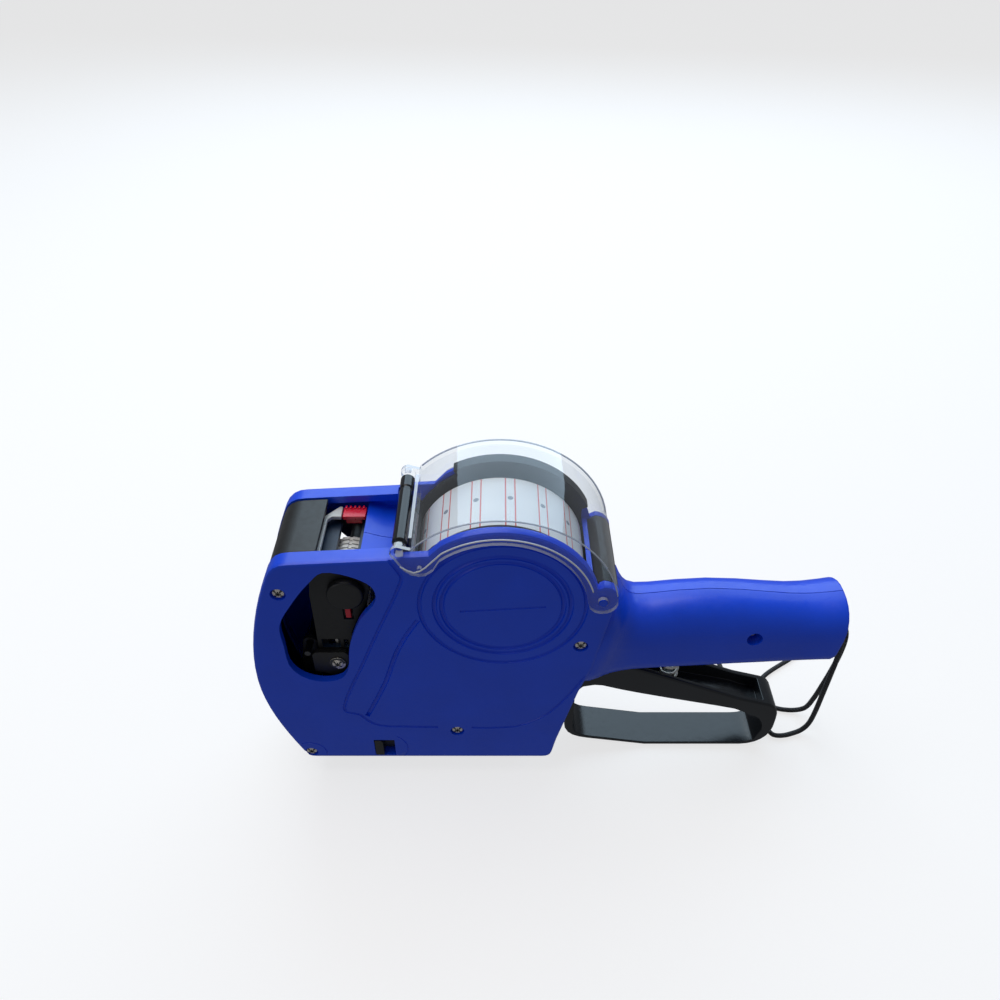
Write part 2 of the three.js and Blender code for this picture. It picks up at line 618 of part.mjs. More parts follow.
function triggerLoop() {
  const outer = [
    ...arc(TRIGGER_PIVOT.x, TRIGGER_PIVOT.z, 5.2, 230, 95, 8),
    [30, 40.4], [44, 43], ...bezier([50, 42.9], [54, 42], [70, 34.6], [99.9, 22.1], 5), [109, 19.3],
    ...bezier([113, 18], [116.4, 16.6], [117.6, 13], [117.5, 8], 4),
    ...bezier([117.4, 2.5], [116.8, -4.6], [112.5, -9.4], [105, -9.8], 6),
    [63, -9.8], ...bezier([38, -5.4], [31, -4.2], [27.4, -1.4], [27.4, 5], 5), [27.4, 24],
  ];
  const inner = [
    ...ARM_UNDER, [104, 12.6], ...bezier([108, 10.4], [111, 8.4], [112.6, 5], [112.4, 1], 4),
    ...bezier([112.2, -4], [110, -7.4], [105, -7.8], [103, -7.8], 4).slice(1),
    [63, -7.8], ...bezier([38.6, -3.4], [33.6, -2.5], [31, -0.6], [31, 5], 4), [31, 26],
  ];
  const channel = [
    ...ARM_UNDER.slice(2).map(([x, z]) => [x, z + 2.3]), [104, 15.2], [109.5, 14], [113, 40], [42, 60],
  ];
  const solid = prism(outer, -TRIGGER_HALF, TRIGGER_HALF, [], 0.9, 2)
    .subtract(prism(inner, -THROUGH, THROUGH))
    .subtract(prism(channel, -5.6, 5.6))
    .subtract(bar(TRIGGER_PIVOT, PIN_HOLE, -20, 20, 16));
  return solid.add(post(SPRING.x, 0, 23.5, 31, 2.2));
}

// A coil spring as one solid tube round the trigger's post.
function coilSpring() {
  class Helix extends THREE.Curve {
    getPoint(t, target = new THREE.Vector3()) {
      const a = t * SPRING.turns * 2 * Math.PI;
      const z = SPRING.z0 + 1.4 + (SPRING.z1 - SPRING.z0 - 2.4) * t;
      return target.set(SPRING.x + SPRING.r * Math.cos(a), SPRING.r * Math.sin(a), z);
    }
  }
  const section = new THREE.Shape();
  section.absarc(0, 0, SPRING.wire, 0, 2 * Math.PI);
  return new THREE.ExtrudeGeometry(section, {
    curveSegments: 3, steps: SPRING.turns * 12, extrudePath: new Helix(), bevelEnabled: false,
  });
}

// ---------- wrist strap: one cord, from the handle's end, round on the table and back ----------
const ON_TABLE = -FOOT + STRAP_R + 0.12;
const STRAP_ROUTE = [
  [127.4, -1.6, STRAP_EXIT], [131, -1.7, 60.1], [134.6, -1.8, 57.2], [136.4, -1.8, 51], [137, -1.8, 42],
  [136.9, -1.8, 30], [136.6, -1.8, 16], [136.3, -1.6, 3], [135.2, -1.5, -4.6], [132.8, -1.8, -8],
  [129, -2.8, ON_TABLE], [125, -3.8, ON_TABLE], [120.6, -3.4, ON_TABLE], [118.3, 1, ON_TABLE],
  [117, 7, ON_TABLE], [114.4, 13, ON_TABLE], [110.2, 20, ON_TABLE], [106.2, 30, ON_TABLE],
  [104.6, 43, ON_TABLE], [109.6, 56, ON_TABLE], [123, 63.6, ON_TABLE], [138, 61.6, ON_TABLE],
  [146, 52, ON_TABLE], [142.6, 42.4, ON_TABLE], [134.6, 36.4, ON_TABLE], [125.4, 30, ON_TABLE],
  [119.8, 23, ON_TABLE], [119.6, 15.6, ON_TABLE], [124.6, 11.2, ON_TABLE], [129.6, 9.9, ON_TABLE],
  [133.8, 9.4, -8.3], [136.9, 8.4, -5.6], [138.2, 6.8, 2], [138.8, 4.8, 14], [139.6, 3.2, 28],
  [140, 2.2, 42], [139, 1.9, 51.6], [135.8, 1.8, 58], [131.2, 1.7, 60.3], [127.4, 1.6, STRAP_EXIT],
];

function strap() {
  const path = new THREE.CatmullRomCurve3(STRAP_ROUTE.map(([x, y, z]) => new THREE.Vector3(x, y, z)));
  const section = new THREE.Shape(arc(0, 0, STRAP_R, 0, 315, 7).map(([u, v]) => new THREE.Vector2(u, v)));
  return new THREE.ExtrudeGeometry(section, { steps: 78, extrudePath: path, bevelEnabled: false });
}

// ---------- assembly ----------
const gun = new THREE.Group();
gun.position.z = FOOT;

function place(name, solid, material, parent = gun) {
  const geometry = solid.isBufferGeometry ? solid : toGeometry(solid);
  const mesh = new THREE.Mesh(geometry, material);
  mesh.name = name;
  parent.add(mesh);
  return mesh;
}

place('casing_near', casing(true), BLUE);
place('casing_far', casing(false), BLUE);
place('front_cover', frontCover(), BLACK);
place('base_cover', baseCover(), BLACK);
place('base_hinge_pin', bar(BASE_PIVOT, PIN_R, -PIN_HALF, PIN_HALF, 16), STEEL);
place('applicator_roller', tube(APPLICATOR, PIN_HOLE, APPLICATOR.r, -6, 6, 22), RUBBER);
place('applicator_axle', bar(APPLICATOR, PIN_R, -7.8, 7.8, 16), STEEL);
place('latch', latch(), BLACK);
place('clear_cover', clearCover(), CLEAR);
place('cover_rod', turned(ROD, [
  [0, -17.3], [ROD.r, -17.3], [ROD.r, 9.6], [ROD.r - 0.4, 10], [ROD.r - 0.4, 11], [ROD.r, 11.4],
  [ROD.r, 17.3], [0, 17.3],
], 24), BLACK);
place('roll_tray', rollTray(), BLACK);
place('roll_core', tube(ROLL, 11.6, 13.2, ROLL_Y - ROLL_W / 2, ROLL_Y + ROLL_W / 2, 24), CARD);
place('label_roll', tube(ROLL, 13.5, ROLL_R, ROLL_Y - ROLL_W / 2, ROLL_Y + ROLL_W / 2, 44), PAPER);
place('head_frame', headFrame(), NAVY);
place('head_cap', turned(SELECTOR, [
  [0, -17.2], [6, -17.2], [6.7, -16.7], [6.7, -14.5], [0, -14.5],
], 32), BLACK);
place('head_bracket', headBracket(), BLACK);
place('head_screw', screw(BRACKET_SCREW, -18.35, -14.9, 3.1), STEEL);
place('head_flag', box(-56.3, -54.3, -15, -13.5, 78.9, 84.4), RED);
place('head_axle', bar(HEAD_PIVOT, 1.5, -PIN_HALF, PIN_HALF, 16), STEEL);
place('window_plate', windowPlate(), GREY);
for (let i = 0; i < BANDS; i += 1) {
  const y = BAND_Y0 + i * BAND_PITCH;
  place(`digit_band_${i + 1}`, digitBand(y), WHITE);
  place(`digit_wheel_${i + 1}`, digitWheel(y), WHITE);
}
place('pointer', pointer(), RED);
place('selector_knob', knob(), BLACK);
place('ink_holder', inkHolder(), BLACK);
place('ink_roller', tube(INK, PIN_HOLE, INK.r, -9.6, 9.6, 20), INKY);
place('ink_axle', bar(INK, PIN_R, -11.8, 11.8, 16), STEEL);
place('ink_pivot_pin', bar(INK_PIVOT, PIN_R, -PIN_HALF, PIN_HALF, 16), STEEL);
place('feed_wheel', feedWheel(), BLACK);
place('feed_axle', bar(FEED, PIN_R, -PIN_HALF, PIN_HALF, 16), STEEL);
place('trigger', triggerLoop(), BLACK);
place('trigger_pin', bar(TRIGGER_PIVOT, PIN_R, -16, 16, 16), STEEL);
place('trigger_spring', coilSpring(), STEEL);
Object.entries(SCREWS).forEach(([name, { x, z, inner }]) => {
  place(name, screw({ x, z }, -HALF + 0.1, inner > 0 ? inner - 1 : inner), STEEL);
});
place('screw_handle', screw(HANDLE_SCREW, -10, 6), STEEL);
place('wrist_strap', strap(), CORD);

export default gun;
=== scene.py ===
import json
import math

import bmesh
import bpy
from mathutils import Matrix, Vector

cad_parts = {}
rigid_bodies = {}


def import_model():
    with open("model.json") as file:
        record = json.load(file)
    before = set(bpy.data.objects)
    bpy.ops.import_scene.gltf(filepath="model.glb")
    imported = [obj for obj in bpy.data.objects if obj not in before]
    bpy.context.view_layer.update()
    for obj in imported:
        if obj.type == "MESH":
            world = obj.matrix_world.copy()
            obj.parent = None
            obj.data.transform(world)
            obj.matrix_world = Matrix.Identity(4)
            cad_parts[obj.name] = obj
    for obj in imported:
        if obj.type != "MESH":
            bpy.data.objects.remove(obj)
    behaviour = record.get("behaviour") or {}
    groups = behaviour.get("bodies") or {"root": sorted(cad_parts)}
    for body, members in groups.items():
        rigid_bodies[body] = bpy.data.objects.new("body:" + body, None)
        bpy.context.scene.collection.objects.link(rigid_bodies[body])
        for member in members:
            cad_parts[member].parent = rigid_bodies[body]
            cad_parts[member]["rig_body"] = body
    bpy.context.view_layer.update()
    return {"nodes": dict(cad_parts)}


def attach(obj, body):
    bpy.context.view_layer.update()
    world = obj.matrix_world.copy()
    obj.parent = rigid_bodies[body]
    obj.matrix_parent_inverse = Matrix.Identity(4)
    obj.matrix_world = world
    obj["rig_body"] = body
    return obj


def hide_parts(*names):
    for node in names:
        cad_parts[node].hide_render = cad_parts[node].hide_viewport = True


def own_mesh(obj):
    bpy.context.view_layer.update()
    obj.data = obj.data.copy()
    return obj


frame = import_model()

# ---------- shared sizes, in millimetres in the drawing frame: Z = 0 on the casings' lower edge ----------
MM = 0.001
FOOT = 10.0
ROLL = (0.0, 90.7)
ROLL_R = 31.0
ROLL_W = 26.0
ROLL_Y = 0.6
HALF = 21.0
LABELS = 16
SELECTOR = (-55.1, 91.8)
ANVIL = (-58.8, 8.2)
BANDS = 8
BAND_PITCH = 2.15
BAND_Y0 = -10.1
SPRING = {"x": 70.0, "z0": 25.4, "z1": 55.7, "r": 3.4, "wire": 0.55, "turns": 8}
STRAP_R = 1.05
ON_TABLE = -FOOT + STRAP_R + 0.12


def place(x, y, z):
    """A point of the drawing frame, in metres in the row frame."""
    return Vector((x * MM, y * MM, (z + FOOT) * MM))


# ---------- camera ----------
def add_camera():
    data = bpy.data.cameras.new("camera")
    data.lens = 30.6
    data.sensor_width = 36.0
    camera = bpy.data.objects.new("camera", data)
    camera.location = place(0, -228.4, 309.27)
    camera.rotation_euler = (math.radians(50.7), 0, 0)
    bpy.context.scene.collection.objects.link(camera)
    bpy.context.scene.camera = camera


add_camera()


# ---------- mesh helpers ----------
def new_object(name, mesh):
    obj = bpy.data.objects.new(name, mesh)
    bpy.context.scene.collection.objects.link(obj)
    return obj


def from_bmesh(name, bm):
    mesh = bpy.data.meshes.new(name)
    bm.to_mesh(mesh)
    bm.free()
    return new_object(name, mesh)


def smooth_path(points, per_span):
    """Centripetal Catmull-Rom curve through the points, as the CAD cord follows."""
    ends = [points[0] * 2 - points[1]] + list(points) + [points[-1] * 2 - points[-2]]
    path = []
    for i in range(1, len(ends) - 2):
        p = ends[i - 1:i + 3]
        knots = [0.0]
        for a, b in zip(p, p[1:]):
            knots.append(knots[-1] + max(1e-9, (b - a).length) ** 0.5)
        last = i == len(ends) - 3
        for k in range(per_span + (1 if last else 0)):
            t = knots[1] + (knots[2] - knots[1]) * k / per_span
            level = p
            for depth in range(1, 4):
                level = [
                    level[j] * ((knots[j + depth] - t) / (knots[j + depth] - knots[j]))
                    + level[j + 1] * ((t - knots[j]) / (knots[j + depth] - knots[j]))
                    for j in range(4 - depth)
                ]
            path.append(level[0])
    return path


def tube(name, path, radius, sides=12, closed=False):
    """A round tube along a path, with closed ends."""
    bm = bmesh.new()
    count = len(path)
    rings = []
    normal = None
    for i, point in enumerate(path):
        ahead = path[(i + 1) % count] if closed or i + 1 < count else point
        behind = path[i - 1] if closed or i > 0 else point
        along = (ahead - behind).normalized()
        if normal is None:
            normal = along.orthogonal().normalized()
        normal = (normal - along * normal.dot(along)).normalized()
        side = along.cross(normal)
        ring = []
        for k in range(sides):
            a = 2 * math.pi * k / sides
            ring.append(bm.verts.new(point + (normal * math.cos(a) + side * math.sin(a)) * radius))
        rings.append(ring)
    pairs = list(zip(rings, rings[1:]))
    if closed:
        pairs.append((rings[-1], rings[0]))
    for low, high in pairs:
        for k in range(sides):
            j = (k + 1) % sides
            bm.faces.new((low[k], low[j], high[j], high[k]))
    if not closed:
        bm.faces.new(list(reversed(rings[0])))
        bm.faces.new(rings[-1])
    bmesh.ops.recalc_face_normals(bm, faces=bm.faces)
    return from_bmesh(name, bm)


def turned(name, profile, centre, sides=64):
    """A turned piece whose axis runs across the gun. The profile is a closed loop of (radius, y)."""
    bm = bmesh.new()
    rings = []
    for radius, y in profile:
        ring = []
        for k in range(sides):
            a = 2 * math.pi * k / sides
            x = centre[0] + radius * math.cos(a)
            z = centre[1] + radius * math.sin(a)
            ring.append(bm.verts.new(place(x, y, z)))
        rings.append(ring)
    for low, high in zip(rings, rings[1:] + rings[:1]):
        for k in range(sides):
            j = (k + 1) % sides
            bm.faces.new((low[k], low[j], high[j], high[k]))
    bmesh.ops.remove_doubles(bm, verts=bm.verts, dist=1e-7)
    bmesh.ops.recalc_face_normals(bm, faces=bm.faces)
    return from_bmesh(name, bm)


def shade(obj, width_mm=0.0, segments=2, angle=32):
    """Smooth shading, with rounded edges where the shape has sharp ones."""
    obj.data.polygons.foreach_set("use_smooth", [True] * len(obj.data.polygons))
    if width_mm:
        bevel = obj.modifiers.new("edges", "BEVEL")
        bevel.width = width_mm * MM
        bevel.segments = segments
        bevel.limit_method = "ANGLE"
        bevel.angle_limit = math.radians(angle)
        bevel.harden_normals = False
        bevel.miter_outer = "MITER_ARC"
    weights = obj.modifiers.new("normals", "WEIGHTED_NORMAL")
    weights.keep_sharp = True
    weights.weight = 60
    return obj


def refined(node, width_mm, cutters=()):
    """A finer copy of a CAD node: flat areas joined, relief cut, edges rounded."""
    source = frame["nodes"][node]
    bm = bmesh.new()
    bm.from_mesh(source.data)
    bmesh.ops.remove_doubles(bm, verts=bm.verts, dist=2e-6)
    bmesh.ops.dissolve_limit(bm, angle_limit=math.radians(0.6), verts=bm.verts, edges=bm.edges)
    obj = from_bmesh(node + "_fine", bm)
    for tool in cutters:
        cut = obj.modifiers.new("relief", "BOOLEAN")
        cut.operation = "DIFFERENCE"
        cut.solver = "EXACT"
        cut.object = tool
        graph = bpy.context.evaluated_depsgraph_get()
        mesh = bpy.data.meshes.new_from_object(obj.evaluated_get(graph))
        obj.modifiers.clear()
        obj.data = mesh
    shade(obj, width_mm)
    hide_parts(node)
    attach(obj, source["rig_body"])
    return obj


# ---------- material helpers ----------
def material(name, color, roughness, metallic=0.0):
    mat = bpy.data.materials.new(name)
    mat.use_nodes = True
    shader = mat.node_tree.nodes["Principled BSDF"]
    shader.inputs["Base Color"].default_value = (*color, 1)
    shader.inputs["Roughness"].default_value = roughness
    shader.inputs["Metallic"].default_value = metallic
    return mat, mat.node_tree.nodes, mat.node_tree.links, shader


def noise(nodes, links, scale, detail=2.0):
    where = nodes.new("ShaderNodeTexCoord")
    tex = nodes.new("ShaderNodeTexNoise")
    tex.inputs["Scale"].default_value = scale
    tex.inputs["Detail"].default_value = detail
    links.new(where.outputs["Object"], tex.inputs["Vector"])
    return tex.outputs["Fac"]


def spread(nodes, links, source, low, high):
    """Maps a 0.3 to 0.7 noise onto low to high."""
    node = nodes.new("ShaderNodeMapRange")
    node.inputs["From Min"].default_value = 0.3
    node.inputs["From Max"].default_value = 0.7
    node.inputs["To Min"].default_value = low
    node.inputs["To Max"].default_value = high
    links.new(source, node.inputs["Value"])
    return node.outputs["Result"]


def two_tone(nodes, links, source, dark, light):
    mix = nodes.new("ShaderNodeMix")
    mix.data_type = "RGBA"
    mix.inputs[6].default_value = (*dark, 1)
    mix.inputs[7].default_value = (*light, 1)
    links.new(source, mix.inputs["Factor"])
    return mix.outputs[2]


def bump(nodes, links, source, height_mm, shader, strength=1.0):
    node = nodes.new("ShaderNodeBump")
    node.inputs["Distance"].default_value = height_mm * MM
    node.inputs["Strength"].default_value = strength
    links.new(source, node.inputs["Height"])
    links.new(node.outputs["Normal"], shader.inputs["Normal"])


def moulded(name, color, roughness, grain=0.012, size=2600.0, coat=0.0, shift=0.16):
    """Moulded plastic: fine grain, slow changes of gloss and a little change of tone."""
    mat, nodes, links, shader = material(name, color, roughness)
    dark = tuple(c * (1 - shift) for c in color)
    light = tuple(c * (1 + shift) for c in color)
    slow = noise(nodes, links, 45.0, 3.0)
    tone = two_tone(nodes, links, spread(nodes, links, slow, 0, 1), dark, light)
    links.new(tone, shader.inputs["Base Color"])
    fine = noise(nodes, links, 420.0, 4.0)
    links.new(spread(nodes, links, fine, roughness - 0.05, roughness + 0.07), shader.inputs["Roughness"])
    bump(nodes, links, noise(nodes, links, size, 2.0), grain, shader, 0.6)
    shader.inputs["Coat Weight"].default_value = coat
    shader.inputs["Coat Roughness"].default_value = 0.12
    return mat


def metal(name, color, roughness, metallic=1.0):
    mat, nodes, links, shader = material(name, color, roughness, metallic)
    fine = noise(nodes, links, 900.0, 3.0)
    links.new(spread(nodes, links, fine, roughness - 0.08, roughness + 0.1), shader.inputs["Roughness"])
    bump(nodes, links, noise(nodes, links, 3500.0), 0.01, shader, 0.5)
    return mat


def math_node(nodes, links, operation, a, b=None, c=None):
    node = nodes.new("ShaderNodeMath")
    node.operation = operation
    for socket, value in zip(node.inputs, (a, b, c)):
        if value is None:
            continue
        if isinstance(value, (int, float)):
            socket.default_value = value
        else:
            links.new(value, socket)
    return node.outputs[0]


def see_through(name, tint, haze, gloss):
    """Thin clear plastic: tinted see-through, with a mirror that grows towards the rims."""
    mat, nodes, links, shader = material(name, (0.95, 0.97, 1.0), gloss)
    clear = nodes.new("ShaderNodeBsdfTransparent")
    clear.inputs["Color"].default_value = (*tint, 1)
    mirror = nodes.new("ShaderNodeBsdfPrincipled")
    mirror.inputs["Base Color"].default_value = (0.95, 0.97, 1.0, 1)
    mirror.inputs["Metallic"].default_value = 1.0
    mirror.inputs["Roughness"].default_value = gloss
    bump_node = nodes.new("ShaderNodeBump")
    bump_node.inputs["Distance"].default_value = 0.05 * MM
    bump_node.inputs["Strength"].default_value = 0.4
    links.new(noise(nodes, links, 30.0), bump_node.inputs["Height"])
    for target in (mirror, shader):
        links.new(bump_node.outputs["Normal"], target.inputs["Normal"])
    facing = nodes.new("ShaderNodeLayerWeight")
    facing.inputs["Blend"].default_value = 0.5
    side = nodes.new("ShaderNodeNewGeometry")
    rim = math_node(nodes, links, "POWER", facing.outputs["Facing"], 4.0)
    rim = math_node(nodes, links, "MULTIPLY_ADD", rim, 0.9, 0.045)
    front = math_node(nodes, links, "SUBTRACT", 1.0, side.outputs["Backfacing"])
    rim = math_node(nodes, links, "MULTIPLY", rim, front)
    body = nodes.new("ShaderNodeMixShader")
    body.inputs["Fac"].default_value = haze
    links.new(clear.outputs["BSDF"], body.inputs[1])
    links.new(shader.outputs["BSDF"], body.inputs[2])
    top = nodes.new("ShaderNodeMixShader")
    links.new(rim, top.inputs["Fac"])
    links.new(body.outputs["Shader"], top.inputs[1])
    links.new(mirror.outputs["BSDF"], top.inputs[2])
    links.new(top.outputs["Shader"], nodes["Material Output"].inputs["Surface"])
    return mat


def label_paper():
    """White labels with a pair of red lines and a grey feed dot at each joint."""
    mat, nodes, links, shader = material("label_paper", (0.9, 0.9, 0.9), 0.62)
    where = nodes.new("ShaderNodeTexCoord")
    split = nodes.new("ShaderNodeSeparateXYZ")
    links.new(where.outputs["Object"], split.inputs[0])

    def do(operation, a, b=None, c=None):
        return math_node(nodes, links, operation, a, b, c)

    up = do("SUBTRACT", split.outputs["Z"], (ROLL[1] + FOOT) * MM)
    turn = do("ARCTAN2", up, split.outputs["X"])
    step = do("ADD", do("MULTIPLY", turn, LABELS / (2 * math.pi)), 0.8)
    along = do("SUBTRACT", do("FRACT", step), 0.5)
    pitch = 2 * math.pi * ROLL_R / LABELS
    offset = do("MULTIPLY", along, pitch)
    from_line = do("ABSOLUTE", do("SUBTRACT", do("ABSOLUTE", offset), 1.7))
    line = do("LESS_THAN", from_line, 0.24)
    cross = do("SUBTRACT", do("MULTIPLY", split.outputs["Y"], 1000.0), 2.2)
    reach = do("SQRT", do("ADD", do("MULTIPLY", offset, offset), do("MULTIPLY", cross, cross)))
    dot = do("LESS_THAN", reach, 1.0)
    across = split.outputs["X"]
    radius = do("SQRT", do("ADD", do("MULTIPLY", up, up), do("MULTIPLY", across, across)))
    outside = do("GREATER_THAN", radius, (ROLL_R - 0.25) * MM)
    tone = spread(nodes, links, noise(nodes, links, 60.0, 3.0), 0, 1)
    paper = two_tone(nodes, links, tone, (0.83, 0.83, 0.84), (0.93, 0.925, 0.915))
    layers = [
        (do("MULTIPLY", line, outside), (0.75, 0.16, 0.15)),
        (do("MULTIPLY", dot, outside), (0.28, 0.31, 0.36)),
    ]
    for mask, ink in layers:
        mix = nodes.new("ShaderNodeMix")
        mix.data_type = "RGBA"
        links.new(mask, mix.inputs["Factor"])
        links.new(paper, mix.inputs[6])
        mix.inputs[7].default_value = (*ink, 1)
        paper = mix.outputs[2]
    links.new(paper, shader.inputs["Base Color"])
    wraps = do("FRACT", do("MULTIPLY", radius, 4200.0))
    bump(nodes, links, wraps, 0.03, shader, 0.5)
    return mat


def cord_weave():
    mat, nodes, links, shader = material("strap_weave", (0.012, 0.012, 0.014), 0.7)
    where = nodes.new("ShaderNodeTexCoord")
    wave = nodes.new("ShaderNodeTexWave")
    wave.inputs["Scale"].default_value = 420.0
    wave.inputs["Distortion"].default_value = 3.0
    wave.bands_direction = "DIAGONAL"
    links.new(where.outputs["Object"], wave.inputs["Vector"])
    bump(nodes, links, wave.outputs["Fac"], 0.12, shader, 0.8)
    # Darker where the weave's bump is low, lighter on its ridges: painted shade in the grooves.
    tone = two_tone(nodes, links, wave.outputs["Fac"], (0.006, 0.006, 0.007), (0.03, 0.03, 0.034))
    links.new(tone, shader.inputs["Base Color"])
    shader.inputs["Sheen Weight"].default_value = 0.2
    return mat


BLUE = moulded("blue_casing", (0.002, 0.068, 0.80), 0.34, grain=0.004, coat=0.1, shift=0.06)
BLACK = moulded("black_plastic", (0.012, 0.012, 0.012), 0.4, grain=0.016)
GLOSS = moulded("black_gloss", (0.008, 0.008, 0.010), 0.16, grain=0.002, coat=0.1)
NAVY = moulded("navy_frame", (0.006, 0.020, 0.050), 0.40, grain=0.015)
TRIGGER = moulded("trigger_plastic", (0.010, 0.012, 0.015), 0.2, grain=0.002, coat=0.1)
RED = moulded("red_plastic", (0.75, 0.004, 0.03), 0.3, grain=0.008, coat=0.3)
GREY = moulded("grey_plastic", (0.58, 0.58, 0.56), 0.38, grain=0.01)
WHITE = moulded("white_rubber", (0.84, 0.83, 0.79), 0.55, grain=0.02)
RUBBER = moulded("rubber", (0.02, 0.02, 0.021), 0.72, grain=0.05, size=900.0)
INKED = moulded("ink_foam", (0.035, 0.008, 0.035), 0.85, grain=0.12, size=1100.0)
CARD = moulded("cardboard", (0.45, 0.31, 0.18), 0.85, grain=0.05, size=700.0)
STEEL = metal("steel", (0.86, 0.80, 0.71), 0.3, 0.55)
# Blackened steel for the ink axle and pivot pin; the screws' cross recesses also take it, as painted shade.
DARK_STEEL_AND_RECESS_SHADE = metal("dark_steel_and_recess_shade", (0.10, 0.10, 0.105), 0.38)
CLEAR = see_through("clear_plastic", (0.965, 0.975, 0.985), 0.015, 0.04)
# Painted highlight: the edge and bead materials are clear plastic with much pale haze, so edges read as
# bright lines; the edge's darker tint is painted shade, so it reads grey over the white paper.
CLEAR_EDGE_HIGHLIGHT = see_through("clear_edge_highlight", (0.52, 0.60, 0.74), 0.5, 0.1)
CLEAR_BEAD_HIGHLIGHT = see_through("clear_bead_highlight", (0.7, 0.76, 0.85), 0.85, 0.2)
PAPER = label_paper()
WEAVE = cord_weave()


def finish_in(obj, mat):
    obj.data.materials.clear()
    obj.data.materials.append(mat)
    obj.data.polygons.foreach_set("material_index", [0] * len(obj.data.polygons))
    return obj


# ---------- wrist strap ----------
STRAP_EXIT = 60.4
STRAP_ROUTE = [
    (127.4, -1.6, STRAP_EXIT), (131, -1.7, 60.1), (134.6, -1.8, 57.2), (136.4, -1.8, 51), (137, -1.8, 42),
    (136.9, -1.8, 30), (136.6, -1.8, 16), (136.3, -1.6, 3), (135.2, -1.5, -4.6), (132.8, -1.8, -8),
    (129, -2.8, ON_TABLE), (125, -3.8, ON_TABLE), (120.6, -3.4, ON_TABLE), (118.3, 1, ON_TABLE),
    (117, 7, ON_TABLE), (114.4, 13, ON_TABLE), (110.2, 20, ON_TABLE), (106.2, 30, ON_TABLE),
    (104.6, 43, ON_TABLE), (109.6, 56, ON_TABLE), (123, 63.6, ON_TABLE), (138, 61.6, ON_TABLE),
    (146, 52, ON_TABLE), (142.6, 42.4, ON_TABLE), (134.6, 36.4, ON_TABLE), (125.4, 30, ON_TABLE),
    (119.8, 23, ON_TABLE), (119.6, 15.6, ON_TABLE), (124.6, 11.2, ON_TABLE), (129.6, 9.9, ON_TABLE),
    (133.8, 9.4, -8.3), (136.9, 8.4, -5.6), (138.2, 6.8, 2), (138.8, 4.8, 14), (139.6, 3.2, 28),
    (140, 2.2, 42), (139, 1.9, 51.6), (135.8, 1.8, 58), (131.2, 1.7, 60.3), (127.4, 1.6, STRAP_EXIT),
]


def add_strap():
    path = smooth_path([place(*p) for p in STRAP_ROUTE], 8)
    strap = shade(tube("wrist_strap_cord", path, STRAP_R * MM, 14))
    finish_in(strap, WEAVE)
    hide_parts("wrist_strap")
    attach(strap, "body")


add_strap()


# ---------- casings, with the relief on their outer faces ----------
EMBLEM = (1.0, 90.7)
STEP_FRONT = [
    (-37.5, 113.5), (-33.7, 105.6), (-34.4, 102), (-43.2, 80.5), (-52, 58.5), (-61.2, 34.5),
    (-60.8, 31.3), (-58, 30.1), (-55.5, 29.2), (-52.2, 24.8), (-48, 22.3), (-40, 21.6), (-25, 21.2),
]
STEP_REAR = [(-11.4, 20.8), (6, 21.6), (19, 30), (32.4, 53)]
STEP_INNER = [(-29.3, 84), (-34.4, 75.2), (-38.8, 65.1), (-43.5, 50), (-50, 34.5), (-52.8, 28.4)]


# x, z, radius, first and last angle of the arcs beside the latch slot and round the front screw
BOSS_ARCS = [(-47.5, 7, 9.5, -38, 55), (-78.4, 3.9, 6.5, -30, 118)]


def ring_path(radius, y, steps=120):
    points = []
    for k in range(steps):
        a = 2 * math.pi * k / steps
        points.append(place(EMBLEM[0] + radius * math.cos(a), y, EMBLEM[1] + radius * math.sin(a)))
    return points


def relief_cutters(side):
    """Grooves of the round emblem, the round step and the step lines, on one face."""
    face = side * HALF
    cutters = [
        tube("groove_outer", ring_path(24.1, face), 1.0 * MM, 10, closed=True),
        tube("groove_inner", ring_path(21.5, face), 1.0 * MM, 10, closed=True),
        tube("groove_step", ring_path(29.4, face), 0.85 * MM, 10, closed=True),
        tube("groove_line", [place(-14.2, face, 88.6), place(16.2, face, 90.9)], 0.45 * MM, 10),
    ]
    for k, (line, radius) in enumerate(((STEP_FRONT, 0.7), (STEP_REAR, 0.55), (STEP_INNER, 1.0))):
        path = smooth_path([place(x, face, z) for x, z in line], 3)
        cutters.append(tube(f"groove_{k}", path, radius * MM, 10))
    for k, (x, z, radius, start, end) in enumerate(BOSS_ARCS):
        path = []
        for step in range(25):
            a = math.radians(start + (end - start) * step / 24)
            path.append(place(x + radius * math.cos(a), face, z + radius * math.sin(a)))
        cutters.append(tube(f"boss_{k}", path, 0.3 * MM, 8))
    return cutters


for name, side in (("casing_near", -1), ("casing_far", 1)):
    tools = relief_cutters(side)
    casing = refined(name, 0.22, tools)
    finish_in(casing, BLUE)
    for tool in tools:
        bpy.data.objects.remove(tool)


